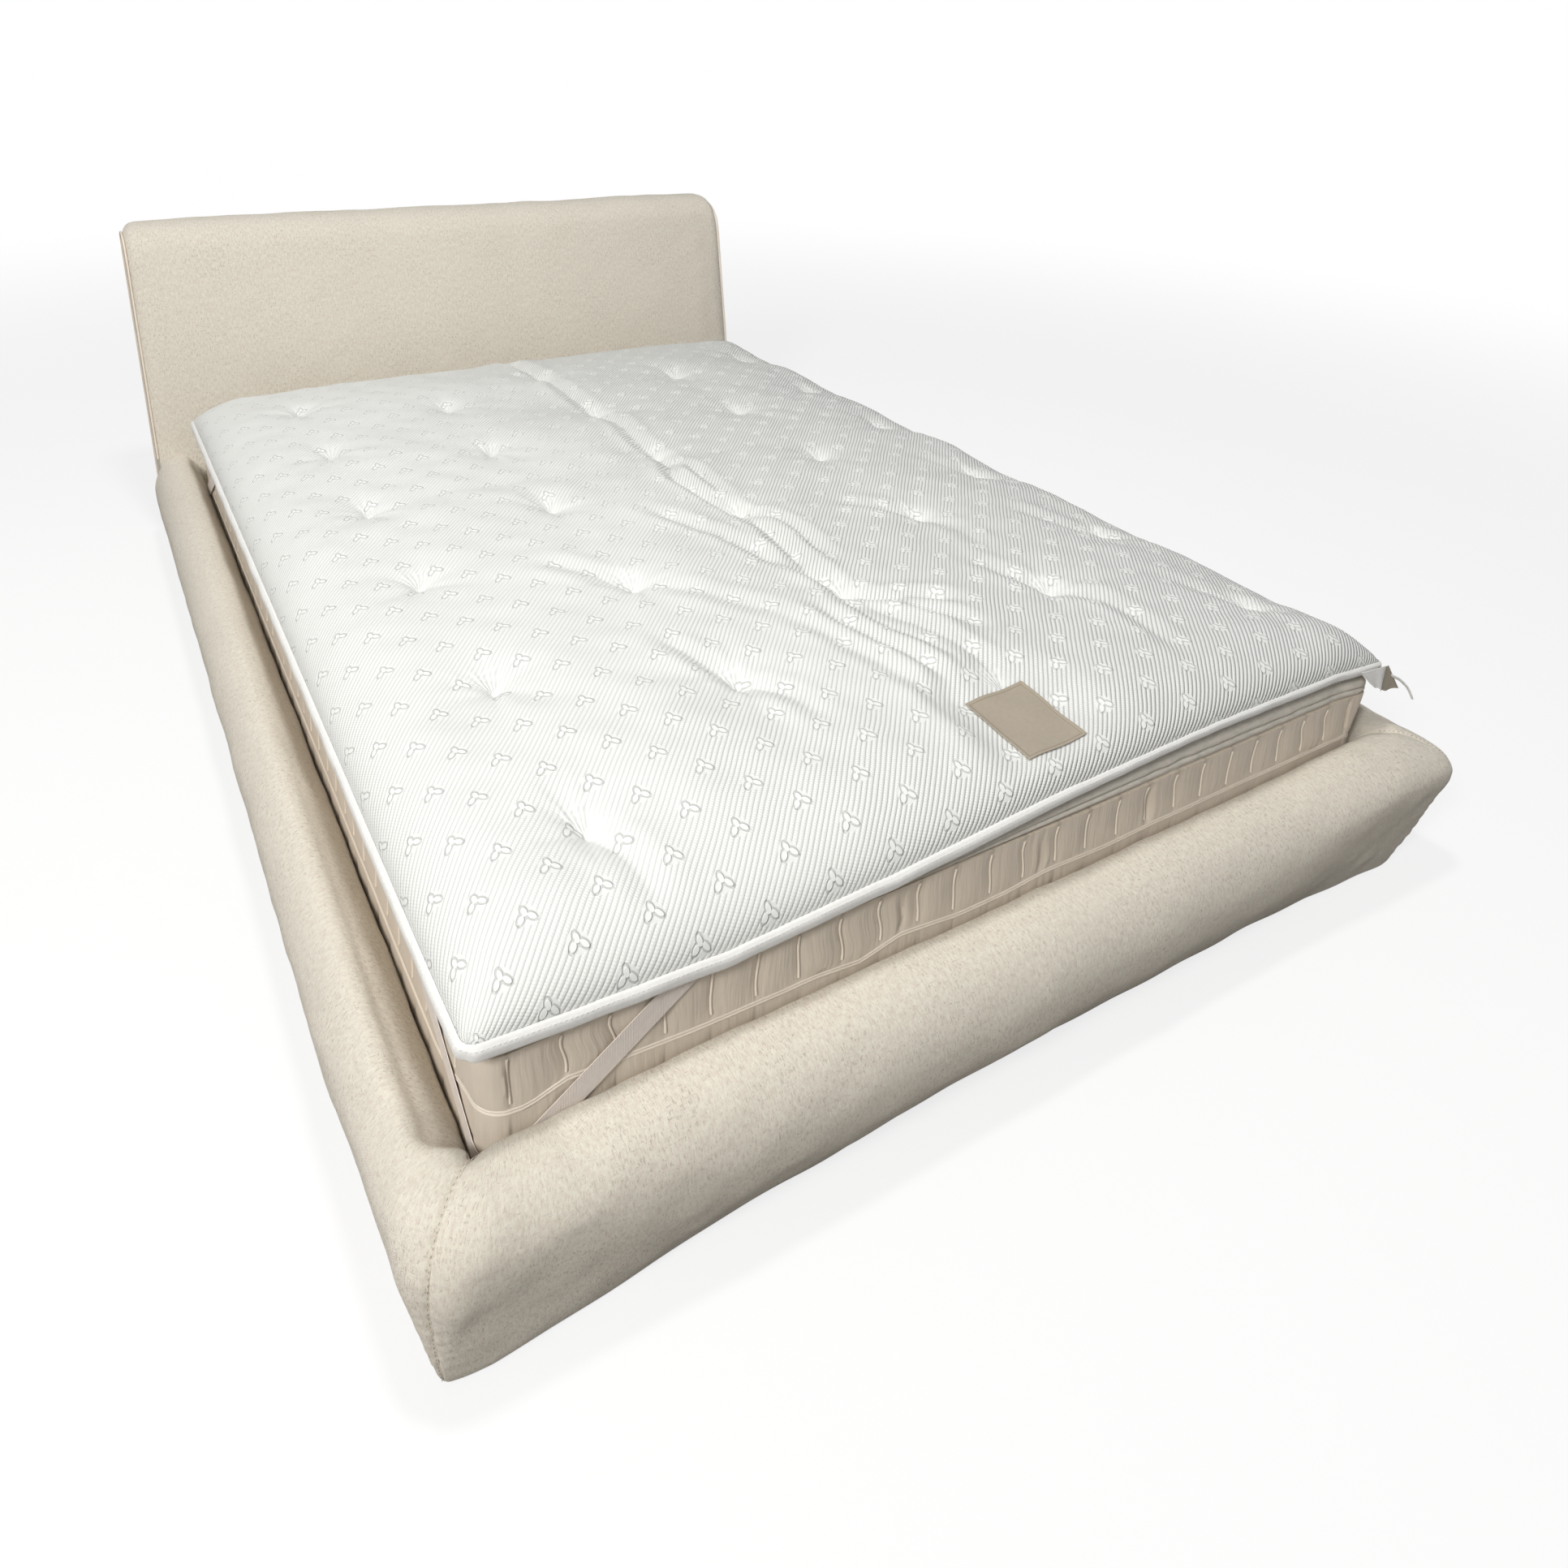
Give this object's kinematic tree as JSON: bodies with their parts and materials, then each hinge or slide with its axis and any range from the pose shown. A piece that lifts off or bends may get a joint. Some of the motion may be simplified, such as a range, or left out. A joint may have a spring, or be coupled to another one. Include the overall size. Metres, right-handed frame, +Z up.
{
  "type": "bed",
  "caption": "Low upholstered double bed with padded rails, a leaning headboard, a slatted base, a channelled mattress and a tufted topper.",
  "frame": {"origin": "on the floor, at the middle of the bed's footprint", "axes": "+Z up, +Y from the foot to the headboard, +X to the right as seen from the foot"},
  "size_m": [1.616, 2.4334, 0.755],
  "materials": {
    "pine": "matte",
    "plywood": "matte",
    "cover_fabric": "matte",
    "lining": "matte",
    "ticking": "matte",
    "knit": "matte",
    "white_tape": "matte",
    "label": "matte",
    "elastic": "matte",
    "webbing": "matte",
    "steel": "satin",
    "plastic": "matte"
  },
  "bodies": {
    "frame": {"side_board_left": "pine", "side_board_right": "pine", "foot_board": "pine", "head_rail": "pine", "ledger_left": "pine", "ledger_right": "pine", "centre_beam": "pine", "centre_leg": "pine", "headboard_post_left": "pine", "headboard_post_right": "pine", "headboard_spacer_left": "pine", "headboard_spacer_right": "pine", "corner_block_foot_left": "pine", "corner_block_foot_right": "pine", "corner_block_head_left": "pine", "corner_block_head_right": "pine", "headboard_panel": "plywood", "rail_cover_left": "cover_fabric", "rail_cover_right": "cover_fabric", "rail_cover_foot": "cover_fabric", "headboard_pad": "cover_fabric", "headboard_piping_left": "cover_fabric", "headboard_piping_right": "cover_fabric", "headboard_back_cloth": "lining", "headboard_bolt_left": "steel", "headboard_bolt_right": "steel", "corner_bolt_foot_left": "steel", "corner_bolt_foot_right": "steel", "corner_bolt_head_left": "steel", "corner_bolt_head_right": "steel", "glide_centre": "plastic", "glide_foot_left": "plastic", "glide_foot_right": "plastic", "glide_head_left": "plastic", "glide_head_right": "plastic"},
    "slatted_base": {"slat_01": "pine", "slat_02": "pine", "slat_03": "pine", "slat_04": "pine", "slat_05": "pine", "slat_06": "pine", "slat_07": "pine", "slat_08": "pine", "slat_09": "pine", "slat_10": "pine", "slat_11": "pine", "slat_12": "pine", "slat_tape_left": "webbing", "slat_tape_right": "webbing"},
    "mattress": {"mattress": "ticking", "mattress_piping": "ticking"},
    "topper": {"topper": "knit", "topper_piping": "white_tape", "piping_tail": "white_tape", "label_patch": "label", "elastic_band_foot_left": "elastic", "elastic_band_foot_right": "elastic", "elastic_band_head_left": "elastic", "elastic_band_head_right": "elastic"}
  },
  "joints": [
    {"name": "slatted_base_lift", "type": "slide", "parent": "frame", "child": "slatted_base", "axis": [0, 0, 1], "range_m": [0, 0.3]},
    {"name": "mattress_lift", "type": "slide", "parent": "slatted_base", "child": "mattress", "axis": [0, 0, 1], "range_m": [0, 0.35]},
    {"name": "topper_lift", "type": "slide", "parent": "mattress", "child": "topper", "axis": [0, 0, 1], "range_m": [0, 0.35]}
  ]
}
